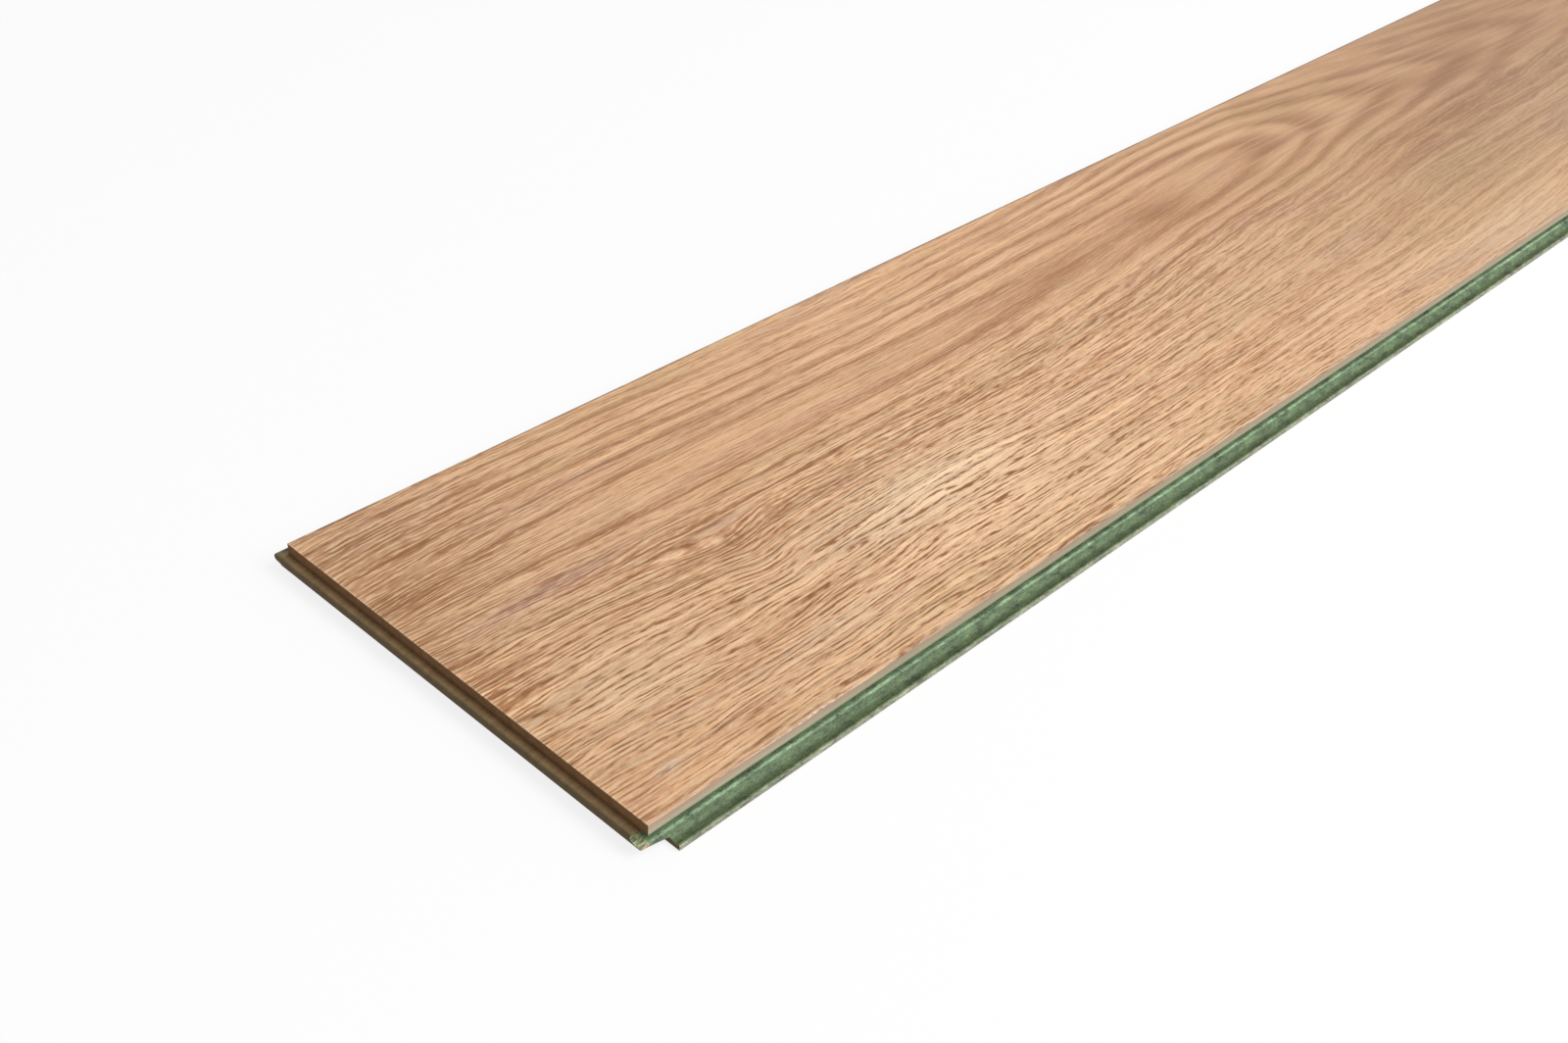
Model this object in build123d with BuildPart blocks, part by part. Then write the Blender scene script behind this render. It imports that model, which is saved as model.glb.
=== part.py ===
from build123d import *
import os

# Laying size, which is the visible face between the four joint planes
length = 1285.0
width = 192.0
thickness = 12.0

# Sheets pressed onto the fibreboard
decor_thickness = 0.3
decor_edge_radius = 0.15
backing_thickness = 0.2

# Shared by all four edges
joint_face_height = 4.5
top_clearance = 0.05
clearance = 0.1
end_gap = 0.3

# Long edges: a groove and a lower lip that locks on -Y, a tongue on +Y
long_groove_depth = 4.2
long_groove_back_height = 2.6
long_groove_back_radius = 0.9
crest_height = 4.3
hollow_reach = 4.4
hollow_floor = 1.7
rim_start = 4.95
rim_height = 2.1
rim_radius = 0.35
long_lip_reach = 5.85
long_lock_gap = 0.15
long_tip_radius = 1.0

# Short ends: a tongue on -X, a groove and a plain lower lip on +X
short_tongue_reach = 3.65
short_tip_underside = 3.8
short_heel_roof = 2.7
short_heel_reach = 7.7
short_heel_gap = 0.15
short_tip_top_radius = 1.2
short_tip_under_radius = 0.4
short_groove_back_radius = 0.8

# Levels and joint planes that follow
core_top = thickness - decor_thickness
groove_roof = thickness - joint_face_height
tongue_top = groove_roof - top_clearance
near_joint = -width / 2
far_joint = width / 2
tongue_end_joint = -length / 2
groove_end_joint = length / 2

# Long profile, where the tongue side keeps its clearance from the groove side
long_groove_floor = groove_roof - long_groove_back_height
long_tongue_reach = long_groove_depth - end_gap
long_heel_reach = long_lip_reach + long_lock_gap
lock_roof = rim_height + clearance
long_tip_underside = long_groove_floor + clearance

# Short profile, where the lip runs parallel to the underside of the tongue
short_slope = (short_tip_underside - short_heel_roof) / (short_tongue_reach + short_heel_reach)
short_lip_reach = short_heel_reach - short_heel_gap
short_lip_top = short_heel_roof - clearance
short_groove_depth = short_tongue_reach + end_gap
short_groove_floor = short_lip_top + short_slope * (short_lip_reach + short_groove_depth)

# Reach of the milled board, with its tongues and lips
core_start = tongue_end_joint - short_tongue_reach
core_end = groove_end_joint + short_lip_reach
core_near = near_joint - long_lip_reach
core_far = far_joint + long_tongue_reach


def corner(sketch, x, y):
    """The sketch's corner nearest to a point."""
    return sketch.vertices().sort_by_distance((x, y))[0]


# Fibreboard: the long profile along X, cut to length by the short profile along Y
with BuildPart() as hdf_core:
    with BuildSketch(Plane.YZ.offset(core_start)) as long_section:
        with BuildLine():
            Polyline(
                (near_joint - hollow_reach, hollow_floor),
                (near_joint - rim_start, rim_height),
                (near_joint - long_lip_reach, rim_height),
                (near_joint - long_lip_reach, backing_thickness),
                (far_joint - long_heel_reach, backing_thickness),
                (far_joint - long_heel_reach, lock_roof),
                (far_joint - rim_start + clearance, lock_roof),
                (far_joint - hollow_reach, hollow_floor + clearance),
            )
            # The underside of the tongue side swells into the hollow of the lip
            TangentArc(
                (far_joint - hollow_reach, hollow_floor + clearance),
                (far_joint, crest_height + clearance),
                tangent=(1, 0),
            )
            Polyline(
                (far_joint, crest_height + clearance),
                (far_joint + long_tongue_reach, long_tip_underside),
                (far_joint + long_tongue_reach, tongue_top),
                (far_joint, tongue_top),
                (far_joint, core_top),
                (near_joint, core_top),
                (near_joint, groove_roof),
                (near_joint + long_groove_depth, groove_roof),
                (near_joint + long_groove_depth, long_groove_floor),
                (near_joint, crest_height),
            )
            # The hollow of the lip, from its lowest point up to the crest at the mouth of the groove
            TangentArc(
                (near_joint - hollow_reach, hollow_floor),
                (near_joint, crest_height),
                tangent=(1, 0),
            )
        make_face()
        for level in (groove_roof, long_groove_floor):
            fillet(corner(long_section, near_joint + long_groove_depth, level), long_groove_back_radius)
        for level in (tongue_top, long_tip_underside):
            fillet(corner(long_section, far_joint + long_tongue_reach, level), long_tip_radius)
        fillet(corner(long_section, near_joint - long_lip_reach, rim_height), rim_radius)
    extrude(amount=core_end - core_start)

    with BuildSketch(Plane.XZ.offset(-core_far)) as short_section:
        with BuildLine():
            Polyline(
                (tongue_end_joint, core_top),
                (tongue_end_joint, tongue_top),
                (core_start, tongue_top),
                (core_start, short_tip_underside),
                (tongue_end_joint + short_heel_reach, short_heel_roof),
                (tongue_end_joint + short_heel_reach, backing_thickness),
                (core_end, backing_thickness),
                (core_end, short_lip_top),
                (groove_end_joint - short_groove_depth, short_groove_floor),
                (groove_end_joint - short_groove_depth, groove_roof),
                (groove_end_joint, groove_roof),
                (groove_end_joint, core_top),
                close=True,
            )
        make_face()
        fillet(corner(short_section, core_start, tongue_top), short_tip_top_radius)
        fillet(corner(short_section, core_start, short_tip_underside), short_tip_under_radius)
        for level in (groove_roof, short_groove_floor):
            fillet(corner(short_section, groove_end_joint - short_groove_depth, level), short_groove_back_radius)
    extrude(amount=core_far - core_near, mode=Mode.INTERSECT)

# Printed laminate sheet, flush with the four joint planes
with BuildPart() as decor_layer:
    with BuildSketch(Plane.XY.offset(core_top)):
        Rectangle(length, width)
    extrude(amount=decor_thickness)
    fillet(decor_layer.faces().sort_by(Axis.Z)[-1].edges(), decor_edge_radius)

# Balancing sheet, which reaches from the heels of the tongues to the ends of the lips
with BuildPart() as backing_layer:
    with BuildSketch():
        with BuildLine():
            Polyline(
                (tongue_end_joint + short_heel_reach, core_near),
                (core_end, core_near),
                (core_end, far_joint - long_heel_reach),
                (tongue_end_joint + short_heel_reach, far_joint - long_heel_reach),
                close=True,
            )
        make_face()
    extrude(amount=backing_thickness)

hdf_core.part.label = "hdf_core"
decor_layer.part.label = "decor_layer"
backing_layer.part.label = "backing_layer"

os.makedirs("parts", exist_ok=True)
export_step(hdf_core.part, "parts/hdf_core.step")
export_step(decor_layer.part, "parts/decor_layer.step")
export_step(backing_layer.part, "parts/backing_layer.step")
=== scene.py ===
from math import atan2, pi, radians

import bmesh
import bpy
from mathutils import Matrix, Vector


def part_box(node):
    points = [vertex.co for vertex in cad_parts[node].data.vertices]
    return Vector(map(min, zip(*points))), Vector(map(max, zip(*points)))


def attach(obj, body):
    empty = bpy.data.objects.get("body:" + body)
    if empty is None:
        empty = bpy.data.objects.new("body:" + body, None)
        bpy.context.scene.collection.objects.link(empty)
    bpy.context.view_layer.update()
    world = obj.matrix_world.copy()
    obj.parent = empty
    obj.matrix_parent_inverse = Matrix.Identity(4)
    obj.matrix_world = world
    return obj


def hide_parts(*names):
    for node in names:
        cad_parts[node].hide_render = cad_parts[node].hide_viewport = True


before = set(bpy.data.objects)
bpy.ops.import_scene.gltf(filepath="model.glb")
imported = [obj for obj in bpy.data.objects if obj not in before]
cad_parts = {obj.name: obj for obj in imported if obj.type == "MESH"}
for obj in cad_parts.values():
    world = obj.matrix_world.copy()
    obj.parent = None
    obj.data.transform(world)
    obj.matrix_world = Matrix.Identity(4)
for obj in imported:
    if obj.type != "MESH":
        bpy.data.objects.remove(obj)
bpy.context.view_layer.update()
print("frame loaded:", ", ".join(sorted(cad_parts)))

mm = 0.001
touch = 0.01  # millimetres: places nearer than this count as one
scene = bpy.context.scene
scene.view_settings.view_transform = "Standard"

# Joint planes and levels of the plank in millimetres, read from the frame
decorLow, decorHigh = (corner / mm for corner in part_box("decor_layer"))
coreLow, coreHigh = (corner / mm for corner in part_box("hdf_core"))
backingLow, backingHigh = (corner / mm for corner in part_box("backing_layer"))
plankWidth = decorHigh.y - decorLow.y


# Small tools for node trees

def paint(red, green, blue):
    # A colour as picked on screen, 0 to 255, to the linear value that a socket takes
    linear = []
    for level in (red, green, blue):
        share = level / 255
        linear.append(share / 12.92 if share <= 0.04045 else ((share + 0.055) / 1.055) ** 2.4)
    return (*linear, 1.0)


def feed(tree, socket, value):
    if isinstance(value, bpy.types.NodeSocket):
        tree.links.new(value, socket)
    else:
        socket.default_value = value


def calc(tree, operation, *values):
    node = tree.nodes.new("ShaderNodeMath")
    node.operation = operation
    for socket, value in zip(node.inputs, values):
        feed(tree, socket, value)
    return node.outputs[0]


def product(tree, first, *others):
    for value in others:
        first = calc(tree, "MULTIPLY", first, value)
    return first


def total(tree, first, *others):
    for value in others:
        first = calc(tree, "ADD", first, value)
    return first


def fade(tree, value, low, high, start=0.0, end=1.0):
    # Smooth step from start, at low, to end, at high
    node = tree.nodes.new("ShaderNodeMapRange")
    node.interpolation_type = "SMOOTHSTEP"
    for socket, setting in zip(node.inputs, (value, low, high, start, end)):
        feed(tree, socket, setting)
    return node.outputs["Result"]


def hill(tree, value, centre, reach):
    # Bell curve, 1 at the centre
    offset = calc(tree, "DIVIDE", calc(tree, "SUBTRACT", value, centre), reach)
    return calc(tree, "EXPONENT", product(tree, offset, offset, -1.0))


def oval(tree, x, y, middle, reach):
    # Bell-shaped spot, 1 at its middle
    return product(tree, hill(tree, x, middle[0], reach[0]), hill(tree, y, middle[1], reach[1]))


def noise(tree, place, along, across, seed, detail=2.0, rough=0.5, twist=0.0, deep=False):
    # Fractal noise whose cells measure along by across millimetres
    cells = tree.nodes.new("ShaderNodeVectorMath")
    cells.operation = "MULTIPLY_ADD"
    feed(tree, cells.inputs[0], place)
    cells.inputs[1].default_value = (1 / along, 1 / across, 1 / across)
    cells.inputs[2].default_value = (seed, seed * 1.7, seed * 0.6)
    node = tree.nodes.new("ShaderNodeTexNoise")
    node.noise_dimensions = "3D" if deep else "2D"
    feed(tree, node.inputs["Vector"], cells.outputs[0])
    node.inputs["Scale"].default_value = 1.0
    node.inputs["Detail"].default_value = detail
    node.inputs["Roughness"].default_value = rough
    node.inputs["Distortion"].default_value = twist
    return node.outputs["Fac"]


def swing(tree, value, size):
    # Noise about 0.5 to an offset about 0
    return calc(tree, "MULTIPLY", calc(tree, "SUBTRACT", value, 0.5), size)


def mixColour(tree, share, first, second, mode="MIX"):
    node = tree.nodes.new("ShaderNodeMix")
    node.data_type = "RGBA"
    node.blend_type = mode
    feed(tree, node.inputs[0], share)
    feed(tree, node.inputs[6], first)
    feed(tree, node.inputs[7], second)
    return node.outputs[2]


def shadeBy(tree, colour, level):
    # Multiplies a colour by a level about 1
    shade = tree.nodes.new("ShaderNodeCombineXYZ")
    for socket in shade.inputs:
        feed(tree, socket, level)
    return mixColour(tree, 1.0, colour, shade.outputs[0], "MULTIPLY")


def ramp(tree, value, stops):
    node = tree.nodes.new("ShaderNodeValToRGB")
    elements = node.color_ramp.elements
    for k, (position, colour) in enumerate(stops):
        stop = elements[k] if k < 2 else elements.new(position)
        stop.position = position
        stop.color = colour
    feed(tree, node.inputs["Fac"], value)
    return node.outputs["Color"]


def grey(level):
    return (level, level, level, 1.0)


def route(tree, value, height, points):
    # Smooth line through the points, with height as the top of the curve's own scale
    node = tree.nodes.new("ShaderNodeFloatCurve")
    curve = node.mapping.curves[0]
    reach = points[-1][0]
    for k, (x, y) in enumerate((points[0], points[-1])):
        curve.points[k].location = (x / reach, y / height)
    for x, y in points[1:-1]:
        curve.points.new(x / reach, y / height)
    node.mapping.update()
    feed(tree, node.inputs["Value"], calc(tree, "DIVIDE", value, reach))
    return calc(tree, "MULTIPLY", node.outputs[0], height)


def bump(tree, height, depth, normal=None):
    node = tree.nodes.new("ShaderNodeBump")
    node.inputs["Strength"].default_value = 1.0
    node.inputs["Distance"].default_value = depth * mm
    feed(tree, node.inputs["Height"], height)
    if normal is not None:
        feed(tree, node.inputs["Normal"], normal)
    return node.outputs["Normal"]


def newMaterial(name):
    # An empty material with its shader, and the place on the plank in millimetres from the
    # corner of the laying face at the short tongue and the long groove
    material = bpy.data.materials.new(name)
    material.use_nodes = True
    tree = material.node_tree
    tree.nodes.clear()
    out = tree.nodes.new("ShaderNodeOutputMaterial")
    shader = tree.nodes.new("ShaderNodeBsdfPrincipled")
    tree.links.new(shader.outputs[0], out.inputs["Surface"])
    where = tree.nodes.new("ShaderNodeTexCoord")
    place = tree.nodes.new("ShaderNodeMapping")
    place.inputs["Scale"].default_value = (1 / mm, 1 / mm, 1 / mm)
    place.inputs["Location"].default_value = (-decorLow.x, -decorLow.y, 0.0)
    tree.links.new(where.outputs["Object"], place.inputs["Vector"])
    return material, tree, shader, place.outputs["Vector"]


def split(tree, place):
    node = tree.nodes.new("ShaderNodeSeparateXYZ")
    feed(tree, node.inputs[0], place)
    return node.outputs[0], node.outputs[1], node.outputs[2]


# Oak print of the decor sheet

oak = {
    "light": paint(242, 198, 155),
    "middle": paint(223, 174, 131),
    "ringDark": paint(164, 112, 72),
    "poreDark": paint(146, 98, 60),
    # Light flecks, partly pale wood and partly painted highlight of the embossed relief
    "fleck": paint(241, 204, 164),
    "pale": paint(240, 214, 182),
    "warm": paint(192, 134, 88),
    "rose": paint(177, 134, 119),
    "olive": paint(205, 168, 122),
    "nearEdgeHighlight": paint(216, 180, 154),
    "farEdgeLine": paint(112, 78, 54),
    "chip": paint(244, 236, 222),
    "roughness": 0.42,
    "specular": 0.2,
    "poreDepth": 0.03,
    "threadRelief": 0.3,
    "pithLine": 131.0,
    "pithSpan": 200.0,
    "depthSpan": 100.0,
    "ringWidth": 9.0,
    "thinning": 300.0,
    "rowSpacing": 2.2,
    "rowShare": 0.75,
    "slitShare": 0.22,
    "fleckShare": 0.85,
    "poreShare": 0.95,
}
# Painted sheen: the light patch beyond the knot and a weak glow round it, as changes of level
shine = {"patch": ((212.0, 57.0), (70.0, 26.0)), "share": 0.09, "glow": 0.07}

# Patches of the print that are tinted, two of them partly painted sheen: middle, half size, colour and
# strength
tintsAndSheen = (
    ((4.0, 160.0), (42.0, 36.0), oak["ringDark"], 0.5),
    ((17.0, 177.0), (14.0, 4.5), oak["poreDark"], 0.55),
    ((40.0, 172.0), (30.0, 14.0), oak["rose"], 0.35),
    ((30.0, 161.0), (22.0, 2.5), oak["poreDark"], 0.3),
    ((9.0, 138.5), (13.0, 6.0), oak["poreDark"], 0.75),
    ((30.0, 126.0), (22.0, 3.0), oak["poreDark"], 0.35),
    ((40.0, 143.0), (26.0, 2.2), oak["poreDark"], 0.35),
    ((48.0, 108.0), (46.0, 6.0), oak["rose"], 0.8),
    ((30.0, 125.0), (34.0, 5.0), oak["olive"], 0.5),
    ((12.0, 138.0), (12.0, 3.5), oak["poreDark"], 0.6),
    ((90.0, 99.0), (22.0, 2.5), oak["poreDark"], 0.25),
    ((2.0, 98.0), (12.0, 30.0), oak["ringDark"], 0.4),
    ((4.0, 74.0), (11.0, 20.0), oak["warm"], 0.75),
    ((5.0, 73.0), (12.0, 2.5), oak["poreDark"], 0.5),
    ((4.0, 85.0), (9.0, 2.0), oak["poreDark"], 0.4),
    ((5.0, 61.0), (10.0, 2.0), oak["poreDark"], 0.35),
    ((92.0, 33.0), (13.0, 4.0), oak["warm"], 0.5),
    ((62.0, 11.0), (9.0, 8.0), oak["warm"], 0.35),
    ((100.0, 168.0), (34.0, 4.5), oak["olive"], 0.6),
    # Two pale patches over the light patch beyond the knot: partly pale print and partly painted sheen
    ((196.0, 57.0), (50.0, 17.0), oak["pale"], 0.85),
    ((238.0, 26.0), (80.0, 22.0), oak["fleck"], 0.45),
    ((38.0, 51.0), (26.0, 14.0), oak["pale"], 0.4),
    ((124.0, 93.0), (34.0, 12.0), oak["ringDark"], 0.55),
    ((4.0, 16.0), (34.0, 22.0), oak["warm"], 0.3),
    ((465.0, 138.0), (26.0, 11.0), oak["ringDark"], 0.8),
    ((568.0, 144.0), (38.0, 7.0), oak["ringDark"], 0.5),
    ((640.0, 104.0), (170.0, 12.0), oak["ringDark"], 0.2),
    ((380.0, 131.0), (150.0, 14.0), oak["ringDark"], 0.42),
    ((228.0, 88.0), (105.0, 9.0), oak["ringDark"], 0.33),
    ((14.0, 131.0), (24.0, 12.0), oak["ringDark"], 0.2),
    ((97.0, 124.0), (13.0, 7.0), oak["ringDark"], 0.25),
    ((165.0, 156.0), (28.0, 7.0), oak["ringDark"], 0.2),
    ((78.0, 51.0), (24.0, 13.0), oak["ringDark"], 0.2),
    ((113.0, 28.0), (27.0, 7.0), oak["pale"], 0.4),
    ((700.0, 98.0), (50.0, 9.0), oak["ringDark"], 0.5),
    ((740.0, 128.0), (60.0, 9.0), oak["ringDark"], 0.52),
    ((825.0, 158.0), (38.0, 7.0), oak["ringDark"], 0.5),
    ((650.0, 58.0), (70.0, 20.0), oak["olive"], 0.5),
    ((590.0, 8.0), (80.0, 16.0), oak["pale"], 0.45),
    ((860.0, 160.0), (230.0, 75.0), oak["warm"], 0.4),
    ((22.0, 14.0), (5.0, 1.8), oak["chip"], 0.45),
)

# Marks of the small knot, over all lines of the grain
knotMarks = (
    ((124.0, 96.0), (12.0, 3.2), oak["rose"], 0.45),
    ((118.0, 97.5), (11.0, 1.1), oak["poreDark"], 0.5),
    ((104.0, 86.5), (10.0, 1.5), oak["poreDark"], 0.35),
    ((114.5, 89.5), (3.6, 2.0), oak["fleck"], 0.65),
    ((119.8, 89.2), (1.9, 1.3), oak["poreDark"], 0.85),
    ((118.0, 85.4), (3.4, 1.0), oak["poreDark"], 0.65),
    ((123.4, 87.4), (1.2, 3.2), oak["poreDark"], 0.6),
)

# Bends of the grain round the knot: middle, half size and how far they lift the lines
bends = (
    ((105.0, 85.0), (40.0, 10.0), -5.0),    # long dip at the knot
    ((120.0, 70.0), (12.0, 20.0), -2.5),    # short dip under the knot
    ((90.0, 40.0), (25.0, 10.0), -3.0),     # dip in the lowest rings
    ((35.0, 75.0), (65.0, 15.0), 6.0),      # rise between the knot and the short end
    ((15.0, 35.0), (25.0, 10.0), 3.0),
    ((135.0, 10.0), (50.0, 10.0), 2.0),     # slight rises along the near edge
    ((185.0, 35.0), (30.0, 10.0), 2.5),
    ((215.0, 60.0), (60.0, 10.0), 4.0),     # rise through the light patch
    ((255.0, 95.0), (20.0, 12.0), -2.0),
)

# Points (along the plank, value) that the pith line and its depth below the face run through
pithPlaces = (
    (0, 131), (100, 132), (200, 130), (290, 129.5), (380, 134), (450, 139.5), (540, 146), (620, 148.5),
    (700, 145), (795, 140.5), (1000, 136), (1300, 132),
)
pithDepths = (
    (0, 19), (20, 16.5), (110, 12), (200, 11.5), (300, 13), (380, 16.5), (430, 18.5), (500, 19),
    (575, 24.5), (620, 32), (695, 39.5), (780, 47), (1000, 62), (1300, 72),
)

# Darkness through one ring, for the start of the plank and further on; the two ends come first
sharpRing = (
    (0.0, 0.85), (1.0, 0.85), (0.08, 0.5), (0.2, 0.14), (0.45, 0.0), (0.68, 0.16), (0.84, 0.5), (0.94, 0.85),
)
softRing = (
    (0.0, 0.8), (1.0, 0.8), (0.14, 0.6), (0.32, 0.2), (0.5, 0.02), (0.68, 0.2), (0.82, 0.7), (0.92, 0.85),
)

# Noises of the grain: length and width of their cells in millimetres, seed, detail, roughness
cells = {
    "wander": (150.0, 55.0, 3.1, 1.0),
    "ripple": (30.0, 14.0, 7.7, 1.0),
    "curl": (11.0, 4.0, 17.3, 1.0),
    "unevenRings": (130.0, 9.0, 5.3, 2.0),
    "ringStrength": (150.0, 7.0, 1.9, 2.0),
    "bands": (150.0, 6.0, 4.4, 2.0, 0.6),
    "streaks": (170.0, 2.8, 2.6, 2.0, 0.5),
    "threads": (22.0, 0.8, 9.2, 2.0, 0.6),
    "rowDrift": (48.0, 4.6, 6.1, 1.0),
    "rowJitter": (8.0, 2.1, 3.4, 1.0),
    "rowGaps": (13.0, 1.8, 13.3, 1.0),
    "dashes": (5.0, 0.7, 8.3, 1.0, 0.5),
    "strokes": (24.0, 0.95, 11.6, 0.0, 0.5),
    "slits": (8.0, 0.5, 15.7, 0.0),
    "tone": (190.0, 26.0, 12.4, 2.0),
    "hue": (110.0, 16.0, 14.8, 2.0),
    "brokenEdge": (14.0, 3.0, 4.6, 2.0),
    "chips": (2.4, 0.9, 9.9, 1.0),
    "dots": (1.0, 0.6, 5.9, 1.0),
}

# How far each noise swings
swings = {
    "ripple": 1.2,
    "curl": 0.6,
    "rowDrift": 2.5,
    "rowJitter": 0.35,
    "dashes": 1.6,
    "strokes": 1.2,
    "streaks": 0.6,
    "threads": 0.4,
    "dots": 0.3,
    "brokenEdge": 1.2,
}

# Fades: where they start and end, and their two values if they aren't 0 and 1
fades = {
    "wanderAlong": (150.0, 350.0, 3.0, 6.0),
    "pullAcross": (0.0, 125.0),
    "unevenOutwards": (20.0, 60.0, 0.15, 0.8),
    "sideOfPith": (-34.0, 34.0, -1.0, 1.0),
    "softRingAlong": (80.0, 480.0),
    "ringStrength": (0.32, 0.55, 0.45, 1.0),
    "ringOutwards": (35.0, 85.0, 0.95, 0.35),
    "fineAlong": (240.0, 640.0, 1.0, 0.32),
    "fineFarEnd": (900.0, 1150.0, 0.0, 0.85),
    "fineAcross": (92.0, 124.0, 1.0, 0.5),
    "fineShortEnd": (20.0, 150.0, 0.85, 0.45),
    "rowGaps": (0.34, 0.54, 0.25, 1.0),
    "slits": (0.6, 0.72),
    "pores": (0.0, 1.1),
    "flecks": (0.1, -0.85),
    "bands": (0.3, 0.7, 0.15, 0.85),
    "rose": (0.54, 0.7, 0.0, 0.35),
    "olive": (0.46, 0.3, 0.0, 0.5),
    "warm": (0.55, 0.72, 0.0, 0.35),
    "brokenLine": (0.4, 0.6, 0.2, 0.6),
    "nearEdgeHighlight": (1.7, 0.7, 0.0, 0.75),
    "farEdgeLine": (1.3, 0.4, 0.0, 0.8),
    "shortEdgeHighlight": (0.9, 0.2, 0.0, 0.5),
    "chips": (0.52, 0.6),
    "chipsInwards": (1.1, 0.5),
    "levelAcross": (85.0, 120.0, 1.0, 0.7),
    # Painted shade over the far part of the plank
    "shadeAlong": (420.0, 860.0),
    "shadeAcross": (50.0, 100.0, 0.0, 0.21),
    "gloomAlong": (300.0, 700.0, 0.0, 0.24),
    "dimFarEnd": (950.0, 1250.0, 1.0, 0.3),
}

# Patches with stronger or weaker strokes: middle, half size and change
finePatches = (
    ((195.0, 48.0), (75.0, 26.0), 0.25),
    ((0.0, 0.0), (60.0, 30.0), -0.35),
)

# Hills along or across the plank: middle and half size
hills = {
    "edgeLine": (2.1, 0.5),
    "chipsAlong": (74.0, 20.0),
    # The next two: painted shade across the far part of the plank, and painted sheen along the plank
    "gloomAcross": (56.0, 38.0),
    "glowAlong": (280.0, 220.0),
}


def fadeFor(tree, name, value):
    return fade(tree, value, *fades[name])


def noiseFor(tree, name, place):
    return noise(tree, place, *cells[name])


def swingFor(tree, name, place):
    return swing(tree, noiseFor(tree, name, place), swings[name])


def hillFor(tree, name, value):
    return hill(tree, value, *hills[name])


def addPatches(tree, x, y, wood, patches):
    for middle, reach, colour, share in patches:
        wood = mixColour(tree, product(tree, oval(tree, x, y, middle, reach), share), wood, colour)
    return wood


def bendGrain(tree, place):
    # The lines of the grain wander a little, dip below the knot and rise again beyond it
    x, y, _ = split(tree, place)
    wander = swing(tree, noiseFor(tree, "wander", place), fadeFor(tree, "wanderAlong", x))
    moved = total(tree, wander, swingFor(tree, "ripple", place), swingFor(tree, "curl", place))
    for middle, reach, lift in bends:
        moved = calc(tree, "MULTIPLY_ADD", oval(tree, x, y, middle, reach), lift, moved)
    return x, y, calc(tree, "SUBTRACT", y, moved)


def followRings(tree, place, x, bentY):
    # Rings cut lengthwise: distance from a pith line that comes near the face twice
    centre = route(tree, x, oak["pithSpan"], pithPlaces)
    depth = route(tree, x, oak["depthSpan"], pithDepths)
    line = oak["pithLine"]
    offset = calc(tree, "SUBTRACT", centre, line)
    middle = calc(tree, "MULTIPLY_ADD", offset, fadeFor(tree, "pullAcross", bentY), line)
    across = calc(tree, "SUBTRACT", bentY, middle)
    radius = calc(tree, "SQRT", total(tree, product(tree, across, across), product(tree, depth, depth)))
    # Rings get thinner outwards
    grown = calc(tree, "MULTIPLY_ADD", product(tree, radius, radius), 1 / oak["thinning"], radius)
    count = calc(tree, "DIVIDE", grown, oak["ringWidth"])
    uneven = swing(tree, noiseFor(tree, "unevenRings", place), fadeFor(tree, "unevenOutwards", radius))
    # Fine lines run straight near the pith line and along the rings away from it
    spread = calc(tree, "SUBTRACT", radius, calc(tree, "ABSOLUTE", across))
    flow = calc(tree, "MULTIPLY_ADD", spread, fadeFor(tree, "sideOfPith", across), across)
    joined = tree.nodes.new("ShaderNodeCombineXYZ")
    feed(tree, joined.inputs[0], x)
    feed(tree, joined.inputs[1], flow)
    return radius, total(tree, count, uneven), joined.outputs[0]


def drawRings(tree, x, grain, radius, rings):
    # Dark wood of each ring, softer edged further along the plank
    phase = calc(tree, "FRACT", rings)
    sharp = ramp(tree, phase, [(at, grey(level)) for at, level in sharpRing])
    soft = ramp(tree, phase, [(at, grey(level)) for at, level in softRing])
    dark = mixColour(tree, fadeFor(tree, "softRingAlong", x), sharp, soft)
    strength = fadeFor(tree, "ringStrength", noiseFor(tree, "ringStrength", grain))
    return product(tree, dark, strength, fadeFor(tree, "ringOutwards", radius))


def fineStrength(tree, x, y, bentY):
    # Everything fine gets weaker towards the middle of the plank and above the lowest rings
    near = calc(tree, "MAXIMUM", fadeFor(tree, "fineAlong", x), fadeFor(tree, "fineFarEnd", x))
    low = calc(tree, "MAXIMUM", fadeFor(tree, "fineAcross", bentY), fadeFor(tree, "fineShortEnd", x))
    for middle, reach, change in finePatches:
        low = calc(tree, "MULTIPLY_ADD", oval(tree, x, y, middle, reach), change, low)
    return near, product(tree, low, near)


def drawStrokes(tree, grain):
    # Pores in wavy rows, with strokes, dashes and slits among them, and light flecks between, partly pale
    # wood and partly painted highlight of the embossed relief
    _, flow, _ = split(tree, grain)
    phase = total(tree, swingFor(tree, "rowDrift", grain), swingFor(tree, "rowJitter", grain))
    turns = calc(tree, "MULTIPLY_ADD", flow, 1 / oak["rowSpacing"], phase)
    rows = calc(tree, "SINE", product(tree, turns, 2 * pi))
    rows = product(tree, rows, fadeFor(tree, "rowGaps", noiseFor(tree, "rowGaps", grain)))
    strokes = calc(tree, "MULTIPLY_ADD", rows, oak["rowShare"], swingFor(tree, "strokes", grain))
    strokes = total(tree, strokes, swingFor(tree, "dashes", grain))
    slits = fadeFor(tree, "slits", noiseFor(tree, "slits", grain))
    pores = calc(tree, "MULTIPLY_ADD", slits, oak["slitShare"], fadeFor(tree, "pores", strokes))
    return pores, fadeFor(tree, "flecks", strokes)


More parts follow.
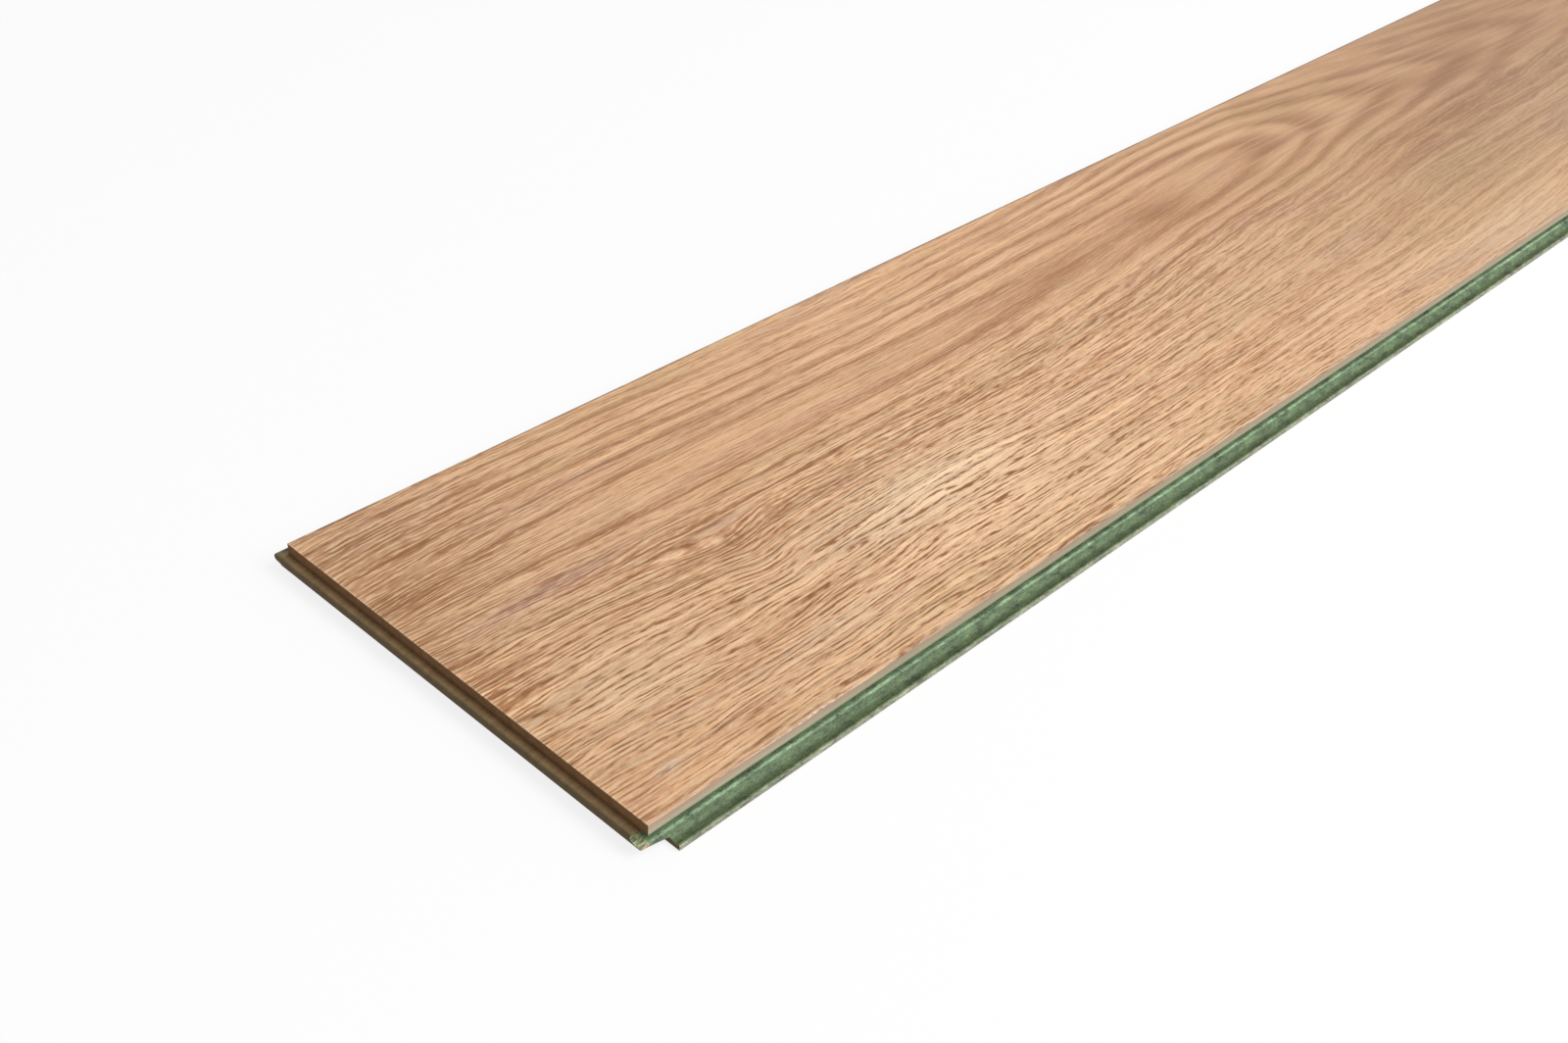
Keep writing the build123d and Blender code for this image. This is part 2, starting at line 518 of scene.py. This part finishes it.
def tintWood(tree, x, bentY, grain):
    # Broad drift of tone and hue, then the tinted patches
    tone = noiseFor(tree, "tone", grain)
    hue = noiseFor(tree, "hue", grain)
    bands = noiseFor(tree, "bands", grain)
    wood = mixColour(tree, fadeFor(tree, "bands", bands), oak["light"], oak["middle"])
    for name, value in (("rose", hue), ("olive", hue), ("warm", tone)):
        wood = mixColour(tree, fadeFor(tree, name, value), wood, oak[name])
    return addPatches(tree, x, bentY, wood, tintsAndSheen)


def finishEdges(tree, place, x, y, wood):
    # Along the near edge: a thin dark line inside the edge, and outside it a pale strip that is painted
    # highlight of the rounded edge
    broken = noiseFor(tree, "brokenEdge", place)
    inset = total(tree, y, swing(tree, broken, swings["brokenEdge"]))
    line = product(tree, hillFor(tree, "edgeLine", inset), fadeFor(tree, "brokenLine", broken))
    wood = mixColour(tree, line, wood, oak["poreDark"])
    wood = mixColour(tree, fadeFor(tree, "nearEdgeHighlight", inset), wood, oak["nearEdgeHighlight"])
    # A dark line along the far edge
    fromFar = calc(tree, "SUBTRACT", plankWidth, y)
    wood = mixColour(tree, fadeFor(tree, "farEdgeLine", fromFar), wood, oak["farEdgeLine"])
    # Painted highlight: a pale line along the short edge
    wood = mixColour(tree, fadeFor(tree, "shortEdgeHighlight", x), wood, oak["fleck"])
    # Small chips on the near edge
    chips = fadeFor(tree, "chips", noiseFor(tree, "chips", place))
    chips = product(tree, chips, hillFor(tree, "chipsAlong", x), fadeFor(tree, "chipsInwards", y))
    return mixColour(tree, chips, wood, oak["chip"])


def streaksShadeAndSheen(tree, place, x, y, bentY, grain, threads, near):
    # Fine light and dark streaks, and a slow change of level along the plank: painted shade that darkens the
    # far part and painted sheen over the light patch beyond the knot
    fine = total(tree, swingFor(tree, "streaks", grain), swing(tree, threads, swings["threads"]),
                 swingFor(tree, "dots", place))
    fine = product(tree, fine, fadeFor(tree, "levelAcross", bentY))
    fine = calc(tree, "MULTIPLY_ADD", fine, near, 1.0)
    # Painted shade: darker over the far part of the plank, fading out again towards the far end
    shade = product(tree, fadeFor(tree, "shadeAlong", x), fadeFor(tree, "shadeAcross", y))
    gloom = product(tree, fadeFor(tree, "gloomAlong", x), hillFor(tree, "gloomAcross", y))
    dim = product(tree, total(tree, shade, gloom), fadeFor(tree, "dimFarEnd", x))
    # Painted sheen over the light patch beyond the knot and round it
    slow = calc(tree, "MULTIPLY_ADD", oval(tree, x, y, *shine["patch"]), shine["share"], 1.0)
    slow = calc(tree, "SUBTRACT", slow, dim)
    slow = calc(tree, "MULTIPLY_ADD", hillFor(tree, "glowAlong", x), shine["glow"], slow)
    return product(tree, fine, slow)


def makeOakPrint():
    material, tree, shader, place = newMaterial("oakPrint")
    x, y, bentY = bendGrain(tree, place)
    radius, rings, grain = followRings(tree, place, x, bentY)
    near, strength = fineStrength(tree, x, y, bentY)
    pores, flecks = drawStrokes(tree, grain)
    threads = noiseFor(tree, "threads", grain)

    wood = tintWood(tree, x, bentY, grain)
    wood = mixColour(tree, drawRings(tree, x, grain, radius, rings), wood, oak["ringDark"])
    wood = finishEdges(tree, place, x, y, wood)
    # Light flecks, partly painted highlight of the embossed relief
    wood = mixColour(tree, product(tree, flecks, strength, oak["fleckShare"]), wood, oak["fleck"])
    wood = mixColour(tree, product(tree, pores, strength, oak["poreShare"]), wood, oak["poreDark"])
    wood = addPatches(tree, x, y, wood, knotMarks)
    wood = shadeBy(tree, wood, streaksShadeAndSheen(tree, place, x, y, bentY, grain, threads, near))

    feed(tree, shader.inputs["Base Color"], wood)
    shader.inputs["Roughness"].default_value = oak["roughness"]
    shader.inputs["Specular IOR Level"].default_value = oak["specular"]
    relief = calc(tree, "SUBTRACT", product(tree, threads, oak["threadRelief"]), pores)
    feed(tree, shader.inputs["Normal"], bump(tree, relief, oak["poreDepth"]))
    return material


# Finishes of the fibreboard

sealCoat = {
    # Dark groove inside as painted shade, bright crest as painted highlight, dark hollow partly pooled wax
    # and partly painted shade, pale rim partly thin coat and partly painted light
    "grooveInside": paint(98, 118, 84),
    "crest": paint(152, 178, 144),
    "slope": paint(90, 111, 75),
    "hollow": paint(69, 84, 51),
    "worn": paint(172, 172, 132),
    "bare": paint(190, 164, 134),
    "farEnd": paint(126, 114, 80),
    "rimTop": paint(104, 119, 86),
    "rim": paint(168, 172, 148),
    # Colours across the profile, by millimetres out from the joint plane; the two ends come first
    "stops": (
        (-4.4, "grooveInside"), (5.85, "rim"), (-0.9, "grooveInside"), (-0.55, "crest"), (-0.05, "crest"),
        (0.35, "slope"), (1.9, "slope"), (2.9, "hollow"), (4.6, "hollow"), (4.95, "rimTop"), (5.6, "rimTop"),
    ),
    "span": (-4.5, 6.0),
    "streaks": (2.2, 0.7, 6.6, 2.0),
    "streakFade": (0.4, 0.62),
    "bareBelow": (4.5, 4.0),
    "wornAtEnd": (0.7, 0.0, 0.0, 0.9),
    "patches": 2.9,
    "fibres": 2.9,
    "specks": 0.3,
    "level": 1.04,
    "roughness": 0.62,
    "relief": 0.12,
}
cutEdge = {
    "seam": paint(126, 134, 100),
    "low": paint(208, 200, 172),
    "high": paint(208, 176, 148),
    "dull": paint(176, 166, 138),
    "highAbove": (8.5, 11.2),
    "dullAlong": (30.0, 130.0, 0.0, 0.45),
    "seamBelow": (8.5, 7.7, 0.0, 0.85),
    "patches": 0.2,
    "fibres": 0.25,
    "specks": 0.0,
    "level": 1.0,
    "roughness": 0.75,
    "relief": 0.06,
}
rawBoard = {
    "face": paint(147, 107, 65),
    "tongue": paint(128, 109, 77),
    # Painted shade colour for the corner of the step and the tongue tip
    "deep": paint(92, 64, 36),
    "faceAbove": (7.3, 7.6),
    "tipShade": (-3.0, -3.6, 0.0, 0.3),
    "stepShadeMiddle": (0.0, 7.5),
    "stepShadeReach": (1.1, 1.0),
    "stepShadeShare": 0.6,
    "patches": 1.1,
    "fibres": 0.9,
    "specks": 0.3,
    "level": 1.0,
    "roughness": 0.8,
    "relief": 0.1,
}
backing = {
    "paper": paint(206, 196, 170),
    "stain": paint(182, 168, 138),
    "clouds": (60.0, 40.0, 4.2, 3.0, 0.6),
    "stainFade": (0.35, 0.7),
    "patches": 0.12,
    "fibres": 0.12,
    "specks": 0.0,
    "level": 1.0,
    "roughness": 0.7,
    "relief": 0.03,
}
fibre = {
    "patches": (7.0, 3.2, 2.2, 3.0, 0.6),
    "specks": (0.55, 0.4, 5.7, 2.0),
    "speckFade": (0.6, 0.75),
    "fibres": (1.4, 0.5, 8.9, 3.0, 0.7, 0.6),
}


def makeFibreGroup():
    # Pressed fibres: soft patches, small specks, and fibres that also serve as a bump's height
    group = bpy.data.node_groups.new("pressedFibres", "ShaderNodeTree")
    group.interface.new_socket("Place", in_out="INPUT", socket_type="NodeSocketVector")
    for name in ("Patches", "Specks", "Fibres"):
        group.interface.new_socket(name, in_out="OUTPUT", socket_type="NodeSocketFloat")
    inside = group.nodes.new("NodeGroupInput").outputs["Place"]
    out = group.nodes.new("NodeGroupOutput")
    specks = noise(group, inside, *fibre["specks"], deep=True)
    feed(group, out.inputs["Patches"], noise(group, inside, *fibre["patches"], deep=True))
    feed(group, out.inputs["Specks"], fade(group, specks, *fibre["speckFade"]))
    feed(group, out.inputs["Fibres"], noise(group, inside, *fibre["fibres"], deep=True))
    return group


def addFibres(tree, shader, place, colour, look):
    # Mottles the colour with the pressed fibres and sets the rest of the finish
    node = tree.nodes.new("ShaderNodeGroup")
    node.node_tree = fibreGroup
    feed(tree, node.inputs["Place"], place)
    found = node.outputs
    specks = calc(tree, "MULTIPLY_ADD", found["Specks"], -look["specks"], look["level"])
    level = total(tree, swing(tree, found["Patches"], look["patches"]),
                  swing(tree, found["Fibres"], look["fibres"]), specks)
    feed(tree, shader.inputs["Base Color"], shadeBy(tree, colour, level))
    shader.inputs["Roughness"].default_value = look["roughness"]
    feed(tree, shader.inputs["Normal"], bump(tree, found["Fibres"], look["relief"]))


def makeSealCoat():
    # Green wax coat on the long joints, paler on the rim partly from a thin coat and partly from painted
    # light, and darker in the hollow partly from pooled wax and partly from painted shade
    material, tree, shader, place = newMaterial("greenSealCoat")
    x, y, z = split(tree, place)
    middle = plankWidth / 2
    outboard = calc(tree, "SUBTRACT", calc(tree, "ABSOLUTE", calc(tree, "SUBTRACT", y, middle)), middle)
    start, end = sealCoat["span"]
    share = calc(tree, "DIVIDE", calc(tree, "SUBTRACT", outboard, start), end - start)
    stops = [((at - start) / (end - start), sealCoat[name]) for at, name in sealCoat["stops"]]
    colour = ramp(tree, share, stops)
    # Worn off beyond the short edge, where the coat is thin and streaky
    streaks = fade(tree, noise(tree, place, *sealCoat["streaks"], deep=True), *sealCoat["streakFade"])
    worn = mixColour(tree, streaks, sealCoat["worn"], sealCoat["slope"])
    worn = mixColour(tree, fade(tree, z, *sealCoat["bareBelow"]), worn, sealCoat["bare"])
    worn = mixColour(tree, fade(tree, y, middle, plankWidth), worn, sealCoat["farEnd"])
    colour = mixColour(tree, fade(tree, x, *sealCoat["wornAtEnd"]), colour, worn)
    addFibres(tree, shader, place, colour, sealCoat)
    return material


def makeCutEdge():
    # Upright joint faces of the long edges: pale sawn board, duller along the plank, coated at its foot
    material, tree, shader, place = newMaterial("cutBoardEdge")
    x, _, z = split(tree, place)
    colour = mixColour(tree, fade(tree, z, *cutEdge["highAbove"]), cutEdge["low"], cutEdge["high"])
    colour = mixColour(tree, fade(tree, x, *cutEdge["dullAlong"]), colour, cutEdge["dull"])
    colour = mixColour(tree, fade(tree, z, *cutEdge["seamBelow"]), colour, cutEdge["seam"])
    addFibres(tree, shader, place, colour, cutEdge)
    return material


def makeRawBoard():
    # Short ends, milled after the coating: bare brown board, with painted shade in the corner of the step
    # and at the tongue tip
    material, tree, shader, place = newMaterial("bareFibreboard")
    x, _, z = split(tree, place)
    colour = mixColour(tree, fade(tree, z, *rawBoard["faceAbove"]), rawBoard["tongue"], rawBoard["face"])
    # Painted shade at the tongue tip and in the corner of the step
    colour = mixColour(tree, fade(tree, x, *rawBoard["tipShade"]), colour, rawBoard["deep"])
    corner = oval(tree, x, z, rawBoard["stepShadeMiddle"], rawBoard["stepShadeReach"])
    colour = mixColour(tree, product(tree, corner, rawBoard["stepShadeShare"]), colour, rawBoard["deep"])
    addFibres(tree, shader, place, colour, rawBoard)
    return material


def makeBackingPaper():
    # Resin-soaked paper of the balancing sheet
    material, tree, shader, place = newMaterial("balancingPaper")
    clouds = noise(tree, place, *backing["clouds"], deep=True)
    colour = mixColour(tree, fade(tree, clouds, *backing["stainFade"]), backing["paper"], backing["stain"])
    addFibres(tree, shader, place, colour, backing)
    return material


fibreGroup = makeFibreGroup()
oakPrint = makeOakPrint()
greenSealCoat = makeSealCoat()
cutBoardEdge = makeCutEdge()
bareFibreboard = makeRawBoard()
balancingPaper = makeBackingPaper()
print("materials made")


# Fibreboard core with its click profiles

profile = {
    "grooveDepth": 4.2,
    "grooveFloor": 4.9,
    "grooveRoof": 7.5,
    "grooveRounding": 0.9,
    "crestHeight": 4.3,
    "hollowReach": 4.4,
    "hollowFloor": 1.7,
    "rimStart": 4.95,
    "rimHeight": 2.1,
    "rimRounding": 0.35,
    "clearance": 0.1,
    "tongueTop": 7.45,
    "tongueRounding": 1.0,
    "edgeBreak": 0.12,
    "shortTipUnderside": 3.8,
    "shortHeelRoof": 2.7,
    "shortTopRounding": 1.2,
    "shortUnderRounding": 0.4,
    "shortLipTop": 2.6,
    "shortGrooveDepth": 3.95,
    "shortGrooveRounding": 0.8,
    "arcSteps": 24,
    "cornerSteps": 10,
    "smallSteps": 5,
    "breakSteps": 3,
    "weld": 0.001,
    "sliver": 0.002,
    "overshoot": 1.0,
    "cutFaceAbove": 0.5,
    "uprightFrom": 0.9,
}


def lineOn(bm, start, points, toPoint):
    # Draws straight edges on from a vertex and gives back the new vertices
    made = []
    for point in points:
        end = bm.verts.new(toPoint(*point))
        bm.edges.new((start, end))
        made.append(end)
        start = end
    return made


def hollowArc(bm, start, turn):
    # The arc of the hollow: level at its lowest point, rising to the crest
    rise = profile["crestHeight"] - profile["hollowFloor"]
    radius = (profile["hollowReach"] ** 2 + rise ** 2) / (2 * rise)
    sweep = atan2(profile["hollowReach"], radius - rise)
    lowest = start.co if turn > 0 else start.co - Vector((0, profile["hollowReach"], rise))
    centre = lowest + Vector((0, 0, radius))
    spun = bmesh.ops.spin(bm, geom=[start], cent=centre, axis=(1, 0, 0), dvec=(0, 0, 0),
                          angle=sweep * turn, steps=profile["arcSteps"], use_merge=False,
                          use_normal_flip=False, use_duplicate=False)
    return [v for v in spun["geom_last"] if isinstance(v, bmesh.types.BMVert)][0]


def roundCorners(bm, corners, radius, steps):
    bmesh.ops.bevel(bm, geom=corners, offset=radius, offset_type="OFFSET", segments=steps, profile=0.5,
                    affect="VERTICES", material=-1)


def pullOut(bm, face, run, name):
    # Extrudes the closed outline and gives back an object
    moved = bmesh.ops.extrude_face_region(bm, geom=[face])["geom"]
    bmesh.ops.translate(bm, vec=run, verts=[v for v in moved if isinstance(v, bmesh.types.BMVert)])
    bmesh.ops.recalc_face_normals(bm, faces=bm.faces[:])
    mesh = bpy.data.meshes.new(name)
    bm.to_mesh(mesh)
    bm.free()
    made = bpy.data.objects.new(name, mesh)
    scene.collection.objects.link(made)
    return made


def makeLongProfile():
    near, far = decorLow.y, decorHigh.y
    top, under = decorLow.z, coreLow.z
    lip, tongue, heel = coreLow.y, coreHigh.y, backingHigh.y
    gap = profile["clearance"]
    past = profile["overshoot"]

    def at(y, z):
        return coreLow.x - past, y, z

    bm = bmesh.new()
    first = bm.verts.new(at(near - profile["hollowReach"], profile["hollowFloor"]))
    outside = lineOn(bm, first, (
        (near - profile["rimStart"], profile["rimHeight"]),
        (lip, profile["rimHeight"]),
        (lip, under),
        (heel, under),
        (heel, profile["rimHeight"] + gap),
        (far - profile["rimStart"] + gap, profile["rimHeight"] + gap),
        (far - profile["hollowReach"], profile["hollowFloor"] + gap)), at)
    swell = hollowArc(bm, outside[-1], 1)
    tongueSide = lineOn(bm, swell, (
        (tongue, profile["grooveFloor"] + gap),
        (tongue, profile["tongueTop"]),
        (far, profile["tongueTop"]),
        (far, top),
        (near, top),
        (near, profile["grooveRoof"]),
        (near + profile["grooveDepth"], profile["grooveRoof"]),
        (near + profile["grooveDepth"], profile["grooveFloor"]),
        (near, profile["crestHeight"])), at)
    crest = tongueSide[-1]
    last = hollowArc(bm, crest, -1)
    bmesh.ops.remove_doubles(bm, verts=[first, last], dist=profile["weld"])
    bmesh.ops.contextual_create(bm, geom=bm.edges[:])
    steps = profile["cornerSteps"]
    roundCorners(bm, [tongueSide[0], tongueSide[1]], profile["tongueRounding"], steps)
    roundCorners(bm, [tongueSide[6], tongueSide[7]], profile["grooveRounding"], steps)
    roundCorners(bm, [outside[1]], profile["rimRounding"], profile["smallSteps"])
    roundCorners(bm, [outside[0], crest, tongueSide[5]], profile["edgeBreak"], profile["breakSteps"])
    return pullOut(bm, bm.faces[:][0], (coreHigh.x - coreLow.x + 2 * past, 0, 0), "longProfile")


def makeShortProfile():
    start, end = decorLow.x, decorHigh.x
    past = profile["overshoot"]
    top, under = decorLow.z + past, coreLow.z - past
    slope = (profile["shortTipUnderside"] - profile["shortHeelRoof"]) / (backingLow.x - coreLow.x)
    grooveBack = end - profile["shortGrooveDepth"]
    grooveFloor = profile["shortLipTop"] + slope * (coreHigh.x - grooveBack)

    def at(x, z):
        return x, coreLow.y - past, z

    bm = bmesh.new()
    first = bm.verts.new(at(start, top))
    drawn = lineOn(bm, first, (
        (start, profile["tongueTop"]),
        (coreLow.x, profile["tongueTop"]),
        (coreLow.x, profile["shortTipUnderside"]),
        (backingLow.x, profile["shortHeelRoof"]),
        (backingLow.x, under),
        (coreHigh.x, under),
        (coreHigh.x, profile["shortLipTop"]),
        (grooveBack, grooveFloor),
        (grooveBack, profile["grooveRoof"]),
        (end, profile["grooveRoof"]),
        (end, top)), at)
    bm.edges.new((drawn[-1], first))
    bmesh.ops.contextual_create(bm, geom=bm.edges[:])
    steps = profile["cornerSteps"]
    roundCorners(bm, [drawn[1]], profile["shortTopRounding"], steps)
    roundCorners(bm, [drawn[2]], profile["shortUnderRounding"], profile["smallSteps"])
    roundCorners(bm, [drawn[7], drawn[8]], profile["shortGrooveRounding"], steps)
    return pullOut(bm, bm.faces[:][0], (0, coreHigh.y - coreLow.y + 2 * past, 0), "shortProfile")


def cleanCut(mesh):
    # Merges the hair-thin edges that a cut leaves
    bm = bmesh.new()
    bm.from_mesh(mesh)
    bmesh.ops.remove_doubles(bm, verts=bm.verts, dist=profile["sliver"])
    bmesh.ops.dissolve_degenerate(bm, dist=profile["sliver"], edges=bm.edges)
    bm.to_mesh(mesh)
    bm.free()


def makeCore():
    # The two outlines overshoot each other, so that no outer faces lie in one plane
    longOne, shortOne = makeLongProfile(), makeShortProfile()
    cut = longOne.modifiers.new("cutToLength", "BOOLEAN")
    cut.operation = "INTERSECT"
    cut.solver = "EXACT"
    cut.object = shortOne
    made = longOne.evaluated_get(bpy.context.evaluated_depsgraph_get())
    mesh = bpy.data.meshes.new_from_object(made)
    for used in (longOne, shortOne):
        bpy.data.objects.remove(used)
    mesh.name = "clickCore"
    cleanCut(mesh)
    mesh.materials.clear()
    finishes = [bareFibreboard, greenSealCoat, cutBoardEdge]
    for finish in finishes:
        mesh.materials.append(finish)
    # Bare board everywhere but on the long joints
    roof = profile["grooveRoof"]
    inner = decorLow.y + profile["grooveDepth"] + touch
    heel = backingHigh.y - touch
    for polygon in mesh.polygons:
        _, y, z = polygon.center
        sideways = abs(polygon.normal.x) < touch
        upright = abs(polygon.normal.y) > profile["uprightFrom"]
        finish = bareFibreboard
        if sideways and upright and z > roof + profile["cutFaceAbove"]:
            finish = cutBoardEdge
        elif sideways and z < roof + touch and (y < inner or y > heel):
            finish = greenSealCoat
        polygon.material_index = finishes.index(finish)
    mesh.transform(Matrix.Scale(mm, 4))
    core = bpy.data.objects.new("clickCore", mesh)
    scene.collection.objects.link(core)
    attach(core, "root")
    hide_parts("hdf_core")
    return core


core = makeCore()
print("core made:", len(core.data.polygons), "faces")


# Decor sheet

decor = {"edgeRadius": 0.15, "edgeSteps": 4}


def makeDecor():
    size = decorHigh - decorLow
    bm = bmesh.new()
    bmesh.ops.create_cube(bm, size=1.0)
    bmesh.ops.scale(bm, vec=size, verts=bm.verts)
    bmesh.ops.translate(bm, vec=(decorLow + decorHigh) / 2, verts=bm.verts)
    rim = [e for e in bm.edges if all(v.co.z > decorHigh.z - touch for v in e.verts)]
    bmesh.ops.bevel(bm, geom=rim, offset=decor["edgeRadius"], offset_type="OFFSET",
                    segments=decor["edgeSteps"], profile=0.5, affect="EDGES", material=-1)
    bmesh.ops.scale(bm, vec=(mm, mm, mm), verts=bm.verts)
    mesh = bpy.data.meshes.new("decorSheet")
    bm.to_mesh(mesh)
    bm.free()
    mesh.materials.append(oakPrint)
    sheet = bpy.data.objects.new("decorSheet", mesh)
    scene.collection.objects.link(sheet)
    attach(sheet, "root")
    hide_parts("decor_layer")


makeDecor()
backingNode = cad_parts["backing_layer"]
backingNode.material_slots[0].material = balancingPaper
print("decor and backing made")


# Floor, light and camera

stage = {
    "floorSize": 14.0,
    "floorDrop": 0.0003,
    "floorTone": 0.18,
    "glow": (2.4, 4.0, 0.83, 1.0),
    "sky": 0.36,
    "keyPower": 105.0,
    "keySize": 2.2,
    "keyDistance": 3.5,
    "keyHeight": 46.0,
    "keySide": 20.0,
    "aim": (-0.25, 0.0, 0.0),
}
shot = {
    "place": (-0.90737, -0.38634, 0.41398),
    "turn": (53.837, -2.550, -45.757),
    "lens": 42.026,
    "sensor": 36.0,
    "nearest": 0.01,
}


def seenDirectly(tree):
    # 1 for what the camera, a reflection or glass sees, 0 for the light that falls on things
    path = tree.nodes.new("ShaderNodeLightPath")
    seen = calc(tree, "MAXIMUM", path.outputs["Is Camera Ray"], path.outputs["Is Glossy Ray"])
    return calc(tree, "MAXIMUM", seen, path.outputs["Is Transmission Ray"])


def makeFloor():
    mesh = bpy.data.meshes.new("floor")
    bm = bmesh.new()
    bmesh.ops.create_grid(bm, x_segments=1, y_segments=1, size=stage["floorSize"] / 2)
    bmesh.ops.translate(bm, vec=(0, 0, -stage["floorDrop"]), verts=bm.verts)
    bm.to_mesh(mesh)
    bm.free()
    floor = bpy.data.objects.new("floor", mesh)
    scene.collection.objects.link(floor)
    material = bpy.data.materials.new("paleFloor")
    material.use_nodes = True
    tree = material.node_tree
    tree.nodes.clear()
    out = tree.nodes.new("ShaderNodeOutputMaterial")
    matt = tree.nodes.new("ShaderNodeBsdfDiffuse")
    matt.inputs["Color"].default_value = grey(stage["floorTone"])
    glow = tree.nodes.new("ShaderNodeEmission")
    # Far from the plank the key light gets weak, and the glow makes up for it
    where = tree.nodes.new("ShaderNodeTexCoord")
    away = tree.nodes.new("ShaderNodeVectorMath")
    away.operation = "LENGTH"
    feed(tree, away.inputs[0], where.outputs["Object"])
    level = fade(tree, away.outputs["Value"], *stage["glow"])
    feed(tree, glow.inputs["Strength"], product(tree, seenDirectly(tree), level))
    both = tree.nodes.new("ShaderNodeAddShader")
    feed(tree, both.inputs[0], matt.outputs[0])
    feed(tree, both.inputs[1], glow.outputs[0])
    feed(tree, out.inputs["Surface"], both.outputs[0])
    mesh.materials.append(material)


def makeSky():
    world = bpy.data.worlds.new("studio")
    scene.world = world
    world.use_nodes = True
    tree = world.node_tree
    tree.nodes.clear()
    out = tree.nodes.new("ShaderNodeOutputWorld")
    sky = tree.nodes.new("ShaderNodeBackground")
    sky.inputs["Color"].default_value = grey(1.0)
    feed(tree, sky.inputs["Strength"], calc(tree, "MAXIMUM", seenDirectly(tree), stage["sky"]))
    feed(tree, out.inputs["Surface"], sky.outputs[0])


def makeKey():
    lamp = bpy.data.lights.new("softbox", "AREA")
    lamp.shape = "SQUARE"
    lamp.size = stage["keySize"]
    lamp.energy = stage["keyPower"]
    key = bpy.data.objects.new("softbox", lamp)
    scene.collection.objects.link(key)
    turn = Matrix.Rotation(radians(stage["keySide"]), 4, "Z")
    tilt = Matrix.Rotation(radians(90 - stage["keyHeight"]), 4, "X")
    reach = Matrix.Translation((0, 0, stage["keyDistance"]))
    key.matrix_world = Matrix.Translation(stage["aim"]) @ turn @ tilt @ reach


def makeCamera():
    camera = bpy.data.cameras.new("camera")
    camera.sensor_fit = "HORIZONTAL"
    camera.sensor_width = shot["sensor"]
    camera.lens = shot["lens"]
    camera.clip_start = shot["nearest"]
    eye = bpy.data.objects.new("camera", camera)
    eye.location = shot["place"]
    eye.rotation_euler = [radians(angle) for angle in shot["turn"]]
    scene.collection.objects.link(eye)
    scene.camera = eye


makeFloor()
makeSky()
makeKey()
makeCamera()
print("floor, light and camera made")
